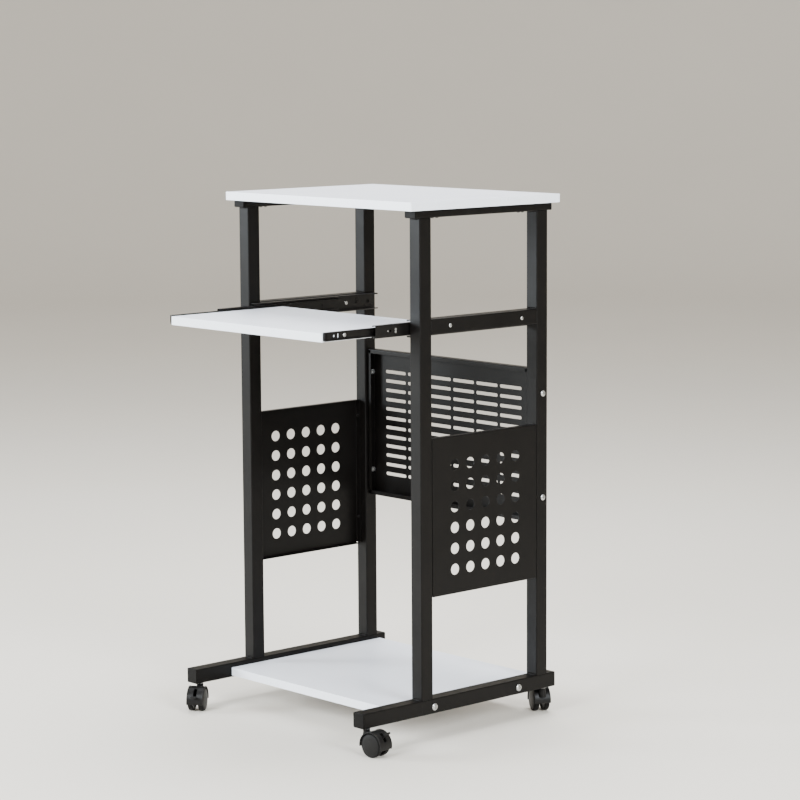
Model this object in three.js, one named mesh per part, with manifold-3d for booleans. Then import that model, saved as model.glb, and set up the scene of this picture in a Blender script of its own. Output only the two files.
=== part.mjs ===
// Mobile workstation trolley: steel tube frame, two boards, pull-out tray, perforated panels, castors.
// X to the right of a user at the front, Y to the back, Z up, millimetres. The pieces are placed with
// zero midway between the four posts on the floor; the finished group is then moved so that its origin
// is the bottom centre of its own bounding box.
import * as THREE from 'three';
import { mergeVertices } from 'three/addons/utils/BufferGeometryUtils.js';
import Module from 'manifold-3d';

const wasm = await Module();
wasm.setup();

// ---------------------------------------------------------------- driving dimensions
const GAP = 0.3;               // clearance between neighbouring pieces
const TUBE = 30;               // square tube side
const WALL = 1.5;              // tube wall
const TUBE_R = 2.4;            // tube corner radius
const HALF_W = 273.5;          // outer faces of the posts, left and right
const HALF_D = 173.5;          // outer faces of the posts, front and rear
const INNER_W = HALF_W - TUBE;
const INNER_D = HALF_D - TUBE;
const RAIL_X = HALF_W - TUBE / 2;

const FOOT_Z = 55;             // underside of the foot rails
const FOOT_FRONT = -326.3;     // foot rails, end caps included
const FOOT_REAR = 196.5;
const CAP_T = 3;               // end cap plate
const CAP_PLUG = 12;           // end cap plug length

const BOARD_TOP = 1059;
const BOARD = { x: 561, y: 404, t: 17 };
const TOP_RAIL_H = 15;
const TOP_RAIL_HALF_Y = 185.5; // end caps included
const POST_TOP = BOARD_TOP - BOARD.t - TOP_RAIL_H;
const MID_Z = 801.5;           // underside of the middle rails

const SHELF_TOP = 75.4;
const SHELF_T = 16.5;
const SHELF_FRONT = -234;
const SHELF_REAR = 180;

const SHEET = 1.2;             // panel sheet
const SIDE_Z = [286.5, 599.5];
const SIDE_FLANGE = 13;
const SIDE_HALF_Y = INNER_D - 0.6;
const RELIEF = 2.5;            // notch where two bent flanges meet
const HOLE = { r: 11, pitch: 41.5, cols: 5, rows: 6, row0: 335 };

const BACK_Z = [396.3, 710.3];
const BACK_HALF_X = INNER_W - 1.2;
const BACK_Y = [150, 169.2];
const LIP = 9;
const SLOT = { l: 63, h: 7, pitchX: 69.5, pitchZ: 20, cols: 6, rows: 12 };

const SLIDE_Z = 813;           // slide centre line
const SLIDE_T = 1.2;
const SLIDE_H = { outer: 34, middle: 25, inner: 17 };
const SLIDE_L = { outer: 340, middle: 320, inner: 310 };
const SLIDE_FRONT = { outer: -170, middle: -259.5, inner: -383 };
const TRAY_FRONT = -385.5;
const TRAY = { x: 2 * (INNER_W - 13.1), y: 290, t: 17, top: 819.4 };

const SHELF_BOLT_Y = { front: -139.8, rear: 91.9 };
const SHELF_BOLT_Z = 68.5;
const SHELF_BOLT_R = { shank: 3, bore: 3.6, crown: 5.2, head: 7 };
const PANEL_BOLT_Y = 160;
const PANEL_BOLT_Z = { lower: 449.5, upper: 660.5 };
const PANEL_BOLT_R = { shank: 2.8, bore: 3.5, nut: 5.2, head: 6 };
const THROUGH = TUBE / 2 + 1;  // reach of a drill from a tube's centre through both walls

const CASTOR_INSET = 21.2;     // stem axis from the rail's end
const TRAIL = 23;
const WHEEL_R = 23.5;
const WHEEL_Y = [5.6, 18];     // wheel faces from the castor's middle plane
const HOOD = { r: 27, inner: 24.9, half: 17.2, web: 5.2, neck: 6.8, top: 51 };
const HOOD_ARC = [-15, 188];   // shell round the wheel centre, degrees from the trail direction
const WEB_ARC = [-8, 181];
const NECK_Z = 35;             // underside of the hood's neck
const AXLE_R = 3;
const AXLE_HALF = 14.7;
const STEM_R = 5;
const STEM_Z = [38.6, 76];
const COLLAR_R = 8;
const LEVER = { half: 3.2, hub: 4, pin: 1.6, reach: 33 };
const LEVER_PIVOT = [7, 7];    // from the wheel centre, along the trail and up
const LEVER_OFF = 41;          // lever direction above the horizontal, degrees
const LEVER_ON = 9;

// yaw: direction from stem to wheels, degrees from +X
const CASTORS = [
  { name: 'front_left', side: -1, end: 'front', yaw: -52.3, lever: LEVER_ON },
  { name: 'front_right', side: 1, end: 'front', yaw: 7, lever: LEVER_OFF },
  { name: 'rear_left', side: -1, end: 'rear', yaw: 24 },
  { name: 'rear_right', side: 1, end: 'rear', yaw: 151.7 },
];

// ---------------------------------------------------------------- finishes
const finish = (color, roughness, metalness) =>
  new THREE.MeshStandardMaterial({ color, roughness, metalness });
const steelBlack = finish(0x1b1b1d, 0.45, 0.5);
const slideBlack = finish(0x151516, 0.35, 0.8);
const plasticBlack = finish(0x1d1d1e, 0.5, 0);
const melamine = finish(0xf1f3f6, 0.35, 0);
const zinc = finish(0xc9ccce, 0.3, 0.9);

// ---------------------------------------------------------------- joining and cutting
// coordinates are rounded to a micrometre, so that faces meant to lie in one plane do
function toSolid(geometry) {
  const bare = geometry.clone();
  bare.deleteAttribute('normal');
  bare.deleteAttribute('uv');
  const points = bare.attributes.position.array;
  for (let i = 0; i < points.length; i++) points[i] = Math.round(points[i] * 1000) / 1000;
  const merged = mergeVertices(bare, 1e-4);
  const index = merged.index.array;
  const faces = [];
  for (let i = 0; i < index.length; i += 3) {
    const [a, b, c] = [index[i], index[i + 1], index[i + 2]];
    if (a !== b && b !== c && c !== a) faces.push(a, b, c);
  }
  return new wasm.Manifold(new wasm.Mesh({
    numProp: 3,
    vertProperties: Float32Array.from(merged.attributes.position.array),
    triVerts: Uint32Array.from(faces),
  }));
}

function toGeometry(solid) {
  const { numVert, numProp, vertProperties, triVerts } = solid.getMesh();
  const positions = new Float32Array(numVert * 3);
  for (let i = 0; i < numVert; i++) {
    for (let k = 0; k < 3; k++) positions[3 * i + k] = vertProperties[i * numProp + k];
  }
  const geometry = new THREE.BufferGeometry();
  geometry.setAttribute('position', new THREE.BufferAttribute(positions, 3));
  geometry.setIndex(new THREE.BufferAttribute(Uint32Array.from(triVerts), 1));
  geometry.computeVertexNormals();
  return geometry;
}

const join = (list) => toGeometry(list.map(toSolid).reduce((a, b) => a.add(b)));
const cut = (geometry, tools) =>
  toGeometry(tools.map(toSolid).reduce((a, b) => a.subtract(b), toSolid(geometry)));

// ---------------------------------------------------------------- basic shapes
const rad = THREE.MathUtils.degToRad;

// a box between two corners
function block(x0, x1, y0, y1, z0, z1) {
  const box = new THREE.BoxGeometry(x1 - x0, y1 - y0, z1 - z0);
  return box.translate((x0 + x1) / 2, (y0 + y1) / 2, (z0 + z1) / 2);
}

// round bars along each axis
function barX(r, x0, x1, y, z, n) {
  return new THREE.CylinderGeometry(r, r, x1 - x0, n).rotateZ(Math.PI / 2).translate((x0 + x1) / 2, y, z);
}
function barY(r, y0, y1, x, z, n) {
  return new THREE.CylinderGeometry(r, r, y1 - y0, n).translate(x, (y0 + y1) / 2, z);
}
function barZ(r, z0, z1, x, y, n) {
  return new THREE.CylinderGeometry(r, r, z1 - z0, n).rotateX(Math.PI / 2).translate(x, y, (z0 + z1) / 2);
}

// rectangle with round corners, centred on zero, as points for a Shape or a hole
function roundRect(w, h, r, path = new THREE.Shape()) {
  const [a, b] = [w / 2 - r, h / 2 - r];
  path.absarc(a, b, r, 0, Math.PI / 2);
  path.absarc(-a, b, r, Math.PI / 2, Math.PI);
  path.absarc(-a, -b, r, Math.PI, 1.5 * Math.PI);
  path.absarc(a, -b, r, 1.5 * Math.PI, 2 * Math.PI);
  path.closePath();
  return path;
}

// each arc of an outline gets twice as many straight pieces as curveSegments
const extrude = (shape, depth, curveSegments = 1) =>
  new THREE.ExtrudeGeometry(shape, { depth, bevelEnabled: false, curveSegments });

// an outline drawn in X and Z, extruded along Y from y0 to y1
const extrudeY = (shape, y0, y1, segments) =>
  extrude(shape, y1 - y0, segments).rotateX(Math.PI / 2).translate(0, y1, 0);

// rectangular tube, centred, upright or along Y
function tube(w, h, length) {
  const section = roundRect(w, h, TUBE_R);
  section.holes.push(roundRect(w - 2 * WALL, h - 2 * WALL, TUBE_R - WALL, new THREE.Path()));
  return extrude(section, length).translate(0, 0, -length / 2);
}
const tubeY = (w, h, length) => tube(w, h, length).rotateX(Math.PI / 2);

// ---------------------------------------------------------------- scene graph
const part = new THREE.Group();
const model = new THREE.Group();
part.add(model);

function piece(parent, name, geometry, material, position = [0, 0, 0], turnZ = 0) {
  const mesh = new THREE.Mesh(geometry, material);
  mesh.name = name;
  mesh.position.set(...position);
  mesh.rotation.z = turnZ;
  parent.add(mesh);
  return mesh;
}

// s is -1 on the left and +1 on the right; a piece made for the right is turned half round on the left
const SIDES = [['left', -1, Math.PI], ['right', 1, 0]];
const ENDS = [['front', -1], ['rear', 1]];

// ---------------------------------------------------------------- boards
piece(model, 'top_board', new THREE.BoxGeometry(BOARD.x, BOARD.y, BOARD.t), melamine,
  [0, 0, BOARD_TOP - BOARD.t / 2]);

const shelfBores = [];
for (const [, s] of SIDES) {
  for (const y of Object.values(SHELF_BOLT_Y)) {
    const ends = [s * (INNER_W + 1), s * (INNER_W - 31)].sort((a, b) => a - b);
    shelfBores.push(barX(SHELF_BOLT_R.bore, ...ends, y, SHELF_BOLT_Z, 8));
  }
}
const shelfHalf = INNER_W - GAP;
const shelfBoard = block(-shelfHalf, shelfHalf, SHELF_FRONT, SHELF_REAR, SHELF_TOP - SHELF_T, SHELF_TOP);
piece(model, 'bottom_shelf', cut(shelfBoard, shelfBores), melamine);

piece(model, 'tray_board', new THREE.BoxGeometry(TRAY.x, TRAY.y, TRAY.t), melamine,
  [0, TRAY_FRONT + TRAY.y / 2, TRAY.top - TRAY.t / 2]);

// ---------------------------------------------------------------- steel frame
// plastic plug for a tube's end: a plate over the end at y 0 and a plug towards +Y
function endCap(w, h) {
  const inset = 2 * (WALL + GAP);
  return join([
    extrude(roundRect(w, h, TUBE_R), CAP_T - GAP),
    extrude(roundRect(w - inset, h - inset, 1), CAP_PLUG).translate(0, 0, CAP_T - GAP - 0.5),
  ]).rotateX(-Math.PI / 2);
}

function footRail() {
  const length = FOOT_REAR - FOOT_FRONT - 2 * CAP_T;
  const middle = (FOOT_REAR + FOOT_FRONT) / 2;
  const bores = Object.values(SHELF_BOLT_Y).map(
    (y) => barX(SHELF_BOLT_R.bore, -THROUGH, THROUGH, y - middle, SHELF_BOLT_Z - FOOT_Z - TUBE / 2, 8));
  for (const y of [FOOT_FRONT + CASTOR_INSET, FOOT_REAR - CASTOR_INSET]) {
    bores.push(barZ(STEM_R + 0.5, -TUBE / 2 - 1, -TUBE / 2 + 5, 0, y - middle, 10));
  }
  return cut(tubeY(TUBE, TUBE, length), bores);
}

for (const [side, s] of SIDES) {
  const x = s * RAIL_X;
  const topRailZ = POST_TOP + TOP_RAIL_H / 2;
  const footY = (FOOT_FRONT + FOOT_REAR) / 2;
  const topRail = tubeY(TUBE, TOP_RAIL_H - GAP, 2 * (TOP_RAIL_HALF_Y - CAP_T));
  piece(model, `top_rail_${side}`, topRail, steelBlack, [x, 0, topRailZ]);
  const middleRail = tubeY(TUBE, TUBE, 2 * (INNER_D - GAP));
  piece(model, `middle_rail_${side}`, middleRail, steelBlack, [x, 0, MID_Z + TUBE / 2]);
  piece(model, `foot_rail_${side}`, footRail(), steelBlack, [x, footY, FOOT_Z + TUBE / 2]);

  for (const [end, t] of ENDS) {
    const length = POST_TOP - FOOT_Z - TUBE - 2 * GAP;
    const z = FOOT_Z + TUBE + GAP + length / 2;
    const y = t * (HALF_D - TUBE / 2);
    let post = tube(TUBE, TUBE, length);
    if (end === 'rear') {
      post = cut(post, Object.values(PANEL_BOLT_Z).map(
        (h) => barX(PANEL_BOLT_R.bore, -THROUGH, THROUGH, PANEL_BOLT_Y - y, h - z, 8)));
    }
    piece(model, `post_${end}_${side}`, post, steelBlack, [x, y, z]);

    const turn = t < 0 ? 0 : Math.PI;
    const footEnd = t < 0 ? FOOT_FRONT : FOOT_REAR;
    piece(model, `end_cap_foot_${end}_${side}`, endCap(TUBE, TUBE), plasticBlack,
      [x, footEnd, FOOT_Z + TUBE / 2], turn);
    piece(model, `end_cap_top_${end}_${side}`, endCap(TUBE, TOP_RAIL_H - GAP), plasticBlack,
      [x, t * TOP_RAIL_HALF_Y, topRailZ], turn);
  }
}

// ---------------------------------------------------------------- perforated side panels
// outer face at x 0, flanges towards -X, z 0 at the lower edge
function sidePanel() {
  const height = SIDE_Z[1] - SIDE_Z[0];
  const [half, f, c] = [SIDE_HALF_Y, SIDE_FLANGE, RELIEF];
  const folded = join([
    block(-SHEET, 0, -half, half, 0, height),
    block(-f, 0, -half + c, half - c, 0, SHEET),
    block(-f, 0, -half + c, half - c, height - SHEET, height),
    block(-f, 0, -half, -half + SHEET, c, height - c),
    block(-f, 0, half - SHEET, half, c, height - c),
  ]);
  const holes = [];
  for (let col = 0; col < HOLE.cols; col++) {
    for (let row = 0; row < HOLE.rows; row++) {
      const y = (col - (HOLE.cols - 1) / 2) * HOLE.pitch;
      const z = HOLE.row0 - SIDE_Z[0] + row * HOLE.pitch;
      holes.push(new THREE.Shape().absarc(y, z, HOLE.r, 0, 2 * Math.PI));
    }
  }
  // drawn in X and Y, then stood up so that they lie in Y and Z, through the sheet
  return cut(folded, [extrude(holes, 6, 5).rotateX(Math.PI / 2).rotateZ(Math.PI / 2).translate(-4, 0, 0)]);
}
for (const [side, s, turn] of SIDES) {
  piece(model, `side_panel_${side}`, sidePanel(), steelBlack, [s * HALF_W, 0, SIDE_Z[0]], turn);
}

// ---------------------------------------------------------------- slotted back panel
// a folded tray open to the front, with return lips round the opening
function backPanel() {
  const [y0, y1] = BACK_Y;
  const [z0, z1] = BACK_Z;
  const [x, t] = [BACK_HALF_X, SHEET];
  const slots = [];
  const [e, h] = [SLOT.l / 2, SLOT.h / 2];
  for (let col = 0; col < SLOT.cols; col++) {
    for (let row = 0; row < SLOT.rows; row++) {
      const cx = (col - (SLOT.cols - 1) / 2) * SLOT.pitchX;
      const cz = (z0 + z1) / 2 + (row - (SLOT.rows - 1) / 2) * SLOT.pitchZ;
      const slot = new THREE.Shape();
      slot.moveTo(cx - e, cz).lineTo(cx - e + 0.7 * h, cz - h).lineTo(cx + e - 0.7 * h, cz - h);
      slot.lineTo(cx + e, cz).lineTo(cx + e - 0.7 * h, cz + h).lineTo(cx - e + 0.7 * h, cz + h);
      slots.push(slot);
    }
  }
  const bores = [];
  for (const [, s] of SIDES) {
    for (const z of Object.values(PANEL_BOLT_Z)) {
      bores.push(barX(PANEL_BOLT_R.bore, s * x - 4, s * x + 4, PANEL_BOLT_Y, z, 8));
    }
  }
  return cut(block(-x, x, y0, y1, z0, z1), [
    block(-x + t, x - t, y0 + t, y1 - t, z0 + t, z1 - t),
    block(-x + LIP, x - LIP, y0 - 1, y0 + t + 1, z0 + LIP, z1 - LIP),
    extrudeY(slots, y1 - 5, y1 + 2),
    ...bores,
  ]);
}
piece(model, 'back_panel', backPanel(), steelBlack);

// ---------------------------------------------------------------- telescopic slides
// a channel for the right side: web at x 0, flanges towards -X, centred in height, from y 0 to its length
function channel(depth, height, lip, length) {
  const [h, t] = [height / 2, SLIDE_T];
  const s = new THREE.Shape();
  s.moveTo(0, -h).lineTo(0, h).lineTo(-depth, h);
  if (lip > 0) s.lineTo(-depth, h - lip).lineTo(-depth + t, h - lip).lineTo(-depth + t, h - t);
  else s.lineTo(-depth, h - t);
  s.lineTo(-t, h - t).lineTo(-t, -h + t);
  if (lip > 0) s.lineTo(-depth + t, -h + t).lineTo(-depth + t, -h + lip).lineTo(-depth, -h + lip);
  else s.lineTo(-depth, -h + t);
  s.lineTo(-depth, -h).closePath();
  return extrudeY(s, -length / 2, length / 2);
}
// the inner channel opens outwards: its web lies on the tray's edge
const trayEdge = TRAY.x / 2 + GAP;
const SLIDES = [
  { name: 'outer', web: INNER_W - GAP, depth: 12.2, lip: 2.8, opensOut: false },
  { name: 'middle', web: INNER_W - 2.2, depth: 10.1, lip: 2.7, opensOut: false },
  { name: 'inner', web: trayEdge, depth: INNER_W - 5.4 - trayEdge, lip: 0, opensOut: true },
];
for (const { name, web, depth, lip, opensOut } of SLIDES) {
  for (const [side, s, turn] of SIDES) {
    const y = SLIDE_FRONT[name] + SLIDE_L[name] / 2;
    piece(model, `slide_${name}_${side}`, channel(depth, SLIDE_H[name], lip, SLIDE_L[name]), slideBlack,
      [s * web, y, SLIDE_Z], opensOut ? turn + Math.PI : turn);
  }
}

// ---------------------------------------------------------------- bolts, x 0 at the tube's outer face
const shelfBolt = () => join([
  barX(SHELF_BOLT_R.head, GAP, GAP + 2, 0, 0, 12),
  barX(SHELF_BOLT_R.crown, GAP + 1, GAP + 3.2, 0, 0, 12),
  barX(SHELF_BOLT_R.shank, -TUBE - 28, 1, 0, 0, 8),
]);
const panelBolt = () => {
  const flange = BACK_HALF_X - SHEET - GAP - HALF_W;    // inner face of the panel's flange
  return join([
    barX(PANEL_BOLT_R.head, GAP, GAP + 3, 0, 0, 12),
    barX(PANEL_BOLT_R.shank, flange - 5, 1, 0, 0, 8),
    barX(PANEL_BOLT_R.nut, flange - 4, flange, 0, 0, 6),
  ]);
};
for (const [side, s, turn] of SIDES) {
  for (const [end, y] of Object.entries(SHELF_BOLT_Y)) {
    piece(model, `shelf_bolt_${end}_${side}`, shelfBolt(), zinc, [s * HALF_W, y, SHELF_BOLT_Z], turn);
  }
  for (const [level, z] of Object.entries(PANEL_BOLT_Z)) {
    piece(model, `panel_bolt_${level}_${side}`, panelBolt(), zinc, [s * HALF_W, PANEL_BOLT_Y, z], turn);
  }
}

// ---------------------------------------------------------------- castors
// castor frame: stem axis through 0, trail along +X, axle along Y, floor at z 0

// sector of a ring round the wheel's centre, between two angles in degrees
function sector(r0, r1, a0, a1, y0, y1) {
  const s = new THREE.Shape();
  s.absarc(TRAIL, WHEEL_R, r1, rad(a0), rad(a1), false);
  if (r0 > 0) s.absarc(TRAIL, WHEEL_R, r0, rad(a1), rad(a0), true);
  else s.lineTo(TRAIL, WHEEL_R);
  s.closePath();
  return extrudeY(s, y0, y1, 6);
}

const pivotX = TRAIL + LEVER_PIVOT[0];
const pivotZ = WHEEL_R + LEVER_PIVOT[1];

function hood(braked) {
  let body = join([
    sector(HOOD.inner, HOOD.r, ...HOOD_ARC, -HOOD.half, HOOD.half),
    sector(0, HOOD.inner + 1, ...WEB_ARC, -HOOD.web, HOOD.web),
    barY(6, -HOOD.web, HOOD.web, TRAIL, WHEEL_R, 12),
    barZ(HOOD.neck, NECK_Z, HOOD.top, 0, 0, 14),
    block(0, 10, -HOOD.web, HOOD.web, NECK_Z, NECK_Z + 11),
  ]);
  body = cut(body, [
    barZ(STEM_R + GAP, NECK_Z + 3, HOOD.top + 1, 0, 0, 12),
    barY(AXLE_R + 0.05, -HOOD.web - 1, HOOD.web + 1, TRAIL, WHEEL_R, 12),
  ]);
  if (!braked) return body;
  // a slot through web and hood for the lever, with a pin across it
  const sweep = new THREE.Shape();
  sweep.moveTo(pivotX - 2, pivotZ - 4).lineTo(pivotX + 34, pivotZ - 1).lineTo(pivotX + 30, pivotZ + 32)
    .lineTo(pivotX - 3, pivotZ + 4).closePath();
  const w = LEVER.half + 0.4;
  const slotted = cut(body, [barY(LEVER.hub + 1, -w, w, pivotX, pivotZ, 12), extrudeY(sweep, -w, w)]);
  return join([slotted, barY(LEVER.pin, -4.5, 4.5, pivotX, pivotZ, 10)]);
}

// brake lever along +X from its pivot
function lever() {
  const w = LEVER.half;
  const arm = join([
    barY(LEVER.hub, -w, w, 0, 0, 12),
    block(0, 27, -w, w, -1.6, 1.6),
    block(25.5, LEVER.reach, -6.5, 6.5, -2, 2),
  ]);
  return cut(arm, [barY(LEVER.pin + 0.1, -4, 4, 0, 0, 10)]);
}

// one wheel: closed outer face, blind bore for the axle from the inner face, turned about Y
function wheel() {
  const [a, b] = WHEEL_Y;
  const profile = [
    [0, 15], [AXLE_R + 0.05, 15], [AXLE_R + 0.05, a], [WHEEL_R - 1, a], [WHEEL_R, a + 1], [WHEEL_R, 14.6],
    [WHEEL_R - 1.2, 16.6], [WHEEL_R - 3.6, 17.6], [0, b],
  ];
  return new THREE.LatheGeometry(profile.map(([r, y]) => new THREE.Vector2(r, y)), 18);
}

for (const { name, side, end, yaw, lever: leverAngle } of CASTORS) {
  const castor = new THREE.Group();
  const stemY = end === 'front' ? FOOT_FRONT + CASTOR_INSET : FOOT_REAR - CASTOR_INSET;
  castor.position.set(side * RAIL_X, stemY, 0);
  castor.rotation.z = rad(yaw);
  model.add(castor);
  const collar = barZ(COLLAR_R, FOOT_Z - 2.3, FOOT_Z - GAP, 0, 0, 14);
  const stem = join([barZ(STEM_R, ...STEM_Z, 0, 0, 12), collar]);
  piece(castor, `castor_${name}_stem`, stem, zinc);
  piece(castor, `castor_${name}_hood`, hood(leverAngle !== undefined), plasticBlack);
  const axle = barY(AXLE_R, -AXLE_HALF, AXLE_HALF, 0, 0, 12);
  piece(castor, `castor_${name}_axle`, axle, zinc, [TRAIL, 0, WHEEL_R]);
  piece(castor, `castor_${name}_wheel_a`, wheel(), plasticBlack, [TRAIL, 0, WHEEL_R]);
  piece(castor, `castor_${name}_wheel_b`, wheel(), plasticBlack, [TRAIL, 0, WHEEL_R], Math.PI);
  if (leverAngle !== undefined) {
    const brake = piece(castor, `castor_${name}_brake`, lever(), plasticBlack, [pivotX, 0, pivotZ]);
    brake.rotation.y = rad(-leverAngle);
  }
}

// ---------------------------------------------------------------- origin: bottom centre of the box
const bounds = new THREE.Box3().setFromObject(model, true);
const centre = bounds.getCenter(new THREE.Vector3());
model.position.set(-centre.x, -centre.y, -bounds.min.z);

export default part;
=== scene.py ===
import math

import bmesh
import bpy
from mathutils import Matrix, Vector


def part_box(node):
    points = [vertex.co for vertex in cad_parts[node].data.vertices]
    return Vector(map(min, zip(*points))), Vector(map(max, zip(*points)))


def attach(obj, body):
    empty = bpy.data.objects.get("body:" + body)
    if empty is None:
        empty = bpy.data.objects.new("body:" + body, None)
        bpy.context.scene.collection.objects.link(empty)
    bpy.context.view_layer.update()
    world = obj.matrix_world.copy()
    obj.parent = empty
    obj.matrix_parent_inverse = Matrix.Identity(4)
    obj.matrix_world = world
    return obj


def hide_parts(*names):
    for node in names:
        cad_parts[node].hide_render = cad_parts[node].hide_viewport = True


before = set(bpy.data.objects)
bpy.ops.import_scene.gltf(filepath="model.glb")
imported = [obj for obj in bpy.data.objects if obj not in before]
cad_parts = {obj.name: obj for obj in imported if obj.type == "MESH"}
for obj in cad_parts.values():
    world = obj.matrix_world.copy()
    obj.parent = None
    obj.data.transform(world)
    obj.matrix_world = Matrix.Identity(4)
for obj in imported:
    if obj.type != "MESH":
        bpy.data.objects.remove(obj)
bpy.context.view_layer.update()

# ------------------------------------------------------------------ sizes, mm
TUBE_R = 2.4
WALL = 1.5
SHEET = 1.2
BEND = 1.4                      # bend radius of folded sheet, at mid-thickness
WELD_GAP = 0.3                  # gap that the solids keep, closed here by the welded tubes
EDGE_BAND = 1.0
HOLE_R, HOLE_PITCH, HOLE_COLS, HOLE_ROWS, HOLE_LOW = 11.0, 41.5, 5, 6, 335.0
RELIEF = 2.5
SLOT_L, SLOT_H, SLOT_PITCH_X, SLOT_PITCH_Z, SLOT_COLS, SLOT_ROWS = 63.0, 7.0, 69.5, 20.0, 6, 12
LIP = 9.0
SLIDE_T = 1.2
SLIDE_HEAD = 0.5                # flat heads that the middle channel passes over
SHELF_HEAD, SHELF_SHANK = (7.0, 3.5), (44, 3.0)         # radius and height; length and radius
PANEL_HEAD, PANEL_SHANK_R = (6.0, 3.3), 2.8
NUT_FLATS, NUT_BORE = 10.0, 2.6
RAIL_SCREWS_Y = (-94, 101)
BOARD_SCREWS_Y = (-127, -115, 106, 117)
FLANGE_SCREWS_Z = (345, 565)
CAP_PLATE = 2.9
HOOD_R, HOOD_IN, HOOD_HALF, HOOD_WEB = 27.0, 24.9, 17.2, 5.2
HOOD_FROM, HOOD_TO = -15.0, 188.0       # arc of the shell, degrees from the trail direction
WEB_FROM, WEB_TO = -8.0, 172.0
NECK_TOP = 51.0
WHEEL_FACES = (5.6, 18.0)       # from the castor's middle plane
AXLE_R, AXLE_HALF = 3.0, 14.7
STEM_R = 5.0
COLLAR_R, COLLAR_LOW, COLLAR_HIGH = 8.0, 52.7, 54.75
LEVER_PIVOT = (7.0, 7.0)
SLOT_ANGLE = 41.0               # middle of the lever's slot in the hood, above the trail direction
SIDES = {"left": -1, "right": 1}
ENDS = {"front": -1, "rear": 1}
CASTORS = [(end, side) for end in ENDS for side in SIDES]

board_low, board_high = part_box("top_board")
HOME = Matrix.Translation(((board_low.x + board_high.x) / 2, (board_low.y + board_high.y) / 2, 0))
HOME = HOME @ Matrix.Scale(0.001, 4)
AWAY = HOME.inverted()


def span(node):
    """Lowest and highest corner of a CAD node in trolley millimetres."""
    low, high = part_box(node)
    return AWAY @ low, AWAY @ high


def centre(node):
    low, high = span(node)
    return (low + high) / 2


# ------------------------------------------------------------------ placing: local (u, v, w)
def axes(u, v, w, at=(0, 0, 0)):
    """Matrix that sends local u, v and w to the given directions, from the point at."""
    m = Matrix([Vector(u), Vector(v), Vector(w)]).transposed().to_4x4()
    m.translation = Vector(at)
    return m


def along_x(at=(0, 0, 0), s=1):
    return axes((0, s, 0), (0, 0, 1), (s, 0, 0), at)


def along_y(at=(0, 0, 0)):
    return axes((1, 0, 0), (0, 0, 1), (0, 1, 0), at)


def along_z(at=(0, 0, 0)):
    return axes((1, 0, 0), (0, 1, 0), (0, 0, 1), at)


# ------------------------------------------------------------------ outlines: loop(d) is moved in by d
def rounded(points, radii, arc=6):
    """Polygon, counter-clockwise, with rounded corners."""
    points = [Vector(p) for p in points]
    if not hasattr(radii, "__len__"):
        radii = [radii] * len(points)

    def loop(d):
        out = []
        for i, p in enumerate(points):
            e1 = (p - points[i - 1]).normalized()
            e2 = (points[(i + 1) % len(points)] - p).normalized()
            n1, n2 = Vector((-e1.y, e1.x)), Vector((-e2.y, e2.x))
            turn = math.atan2(e1.x * e2.y - e1.y * e2.x, e1.dot(e2))
            corner = p + (n1 + n2) * d / (1 + n1.dot(n2))
            side = 1 if turn > 0 else -1
            r = max(radii[i] - side * d, 0.01)
            t = r * math.tan(abs(turn) / 2)
            hub = corner - e1 * t + n1 * side * r
            start = -n1 * side * r
            for k in range(arc + 1):
                a = turn * k / arc
                c, s = math.cos(a), math.sin(a)
                out.append(hub + Vector((start.x * c - start.y * s, start.x * s + start.y * c)))
        return out
    return loop


def rect(w, h, r, cx=0.0, cy=0.0, arc=6):
    x, y = w / 2, h / 2
    return rounded([(cx - x, cy - y), (cx + x, cy - y), (cx + x, cy + y), (cx - x, cy + y)], r, arc)


def slot(length, h, cx=0.0, cy=0.0, arc=8):
    return rect(length, h, min(length, h) / 2 - 0.02, cx, cy, arc)


def disc(r, cx=0.0, cy=0.0, n=32):
    def loop(d):
        turns = [2 * math.pi * k / n for k in range(n)]
        return [Vector((cx + (r - d) * math.cos(a), cy + (r - d) * math.sin(a))) for a in turns]
    return loop


def strip(points, t, bend=BEND, arc=5):
    """Outline of a bent sheet of thickness t round the open line of its mid-surface."""
    points = [Vector(p) for p in points]
    left, right = [], []
    for i, p in enumerate(points):
        e1 = (p - points[i - 1]).normalized() if i else (points[1] - p).normalized()
        e2 = (points[i + 1] - p).normalized() if i + 1 < len(points) else e1
        n1, n2 = Vector((-e1.y, e1.x)), Vector((-e2.y, e2.x))
        off = (n1 + n2) * (t / 2) / (1 + n1.dot(n2))
        cross = e1.x * e2.y - e1.y * e2.x
        end = i in (0, len(points) - 1)
        inner, outer = (0.3, 0.3) if end else (bend - t / 2, bend + t / 2)
        left.append((p + off, inner if cross > 0 else outer))
        right.append((p - off, outer if cross > 0 else inner))
    ring = right + left[::-1]
    return rounded([p for p, _ in ring], [r for _, r in ring], arc)


def arc_points(cx, cy, r, a0, a1, n):
    turns = [math.radians(a0 + (a1 - a0) * k / n) for k in range(n + 1)]
    return [(cx + r * math.cos(a), cy + r * math.sin(a)) for a in turns]


# ------------------------------------------------------------------ solids in a bmesh
def edge_layer(bm):
    return bm.verts.layers.float.get("edge") or bm.verts.layers.float.new("edge")


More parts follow.
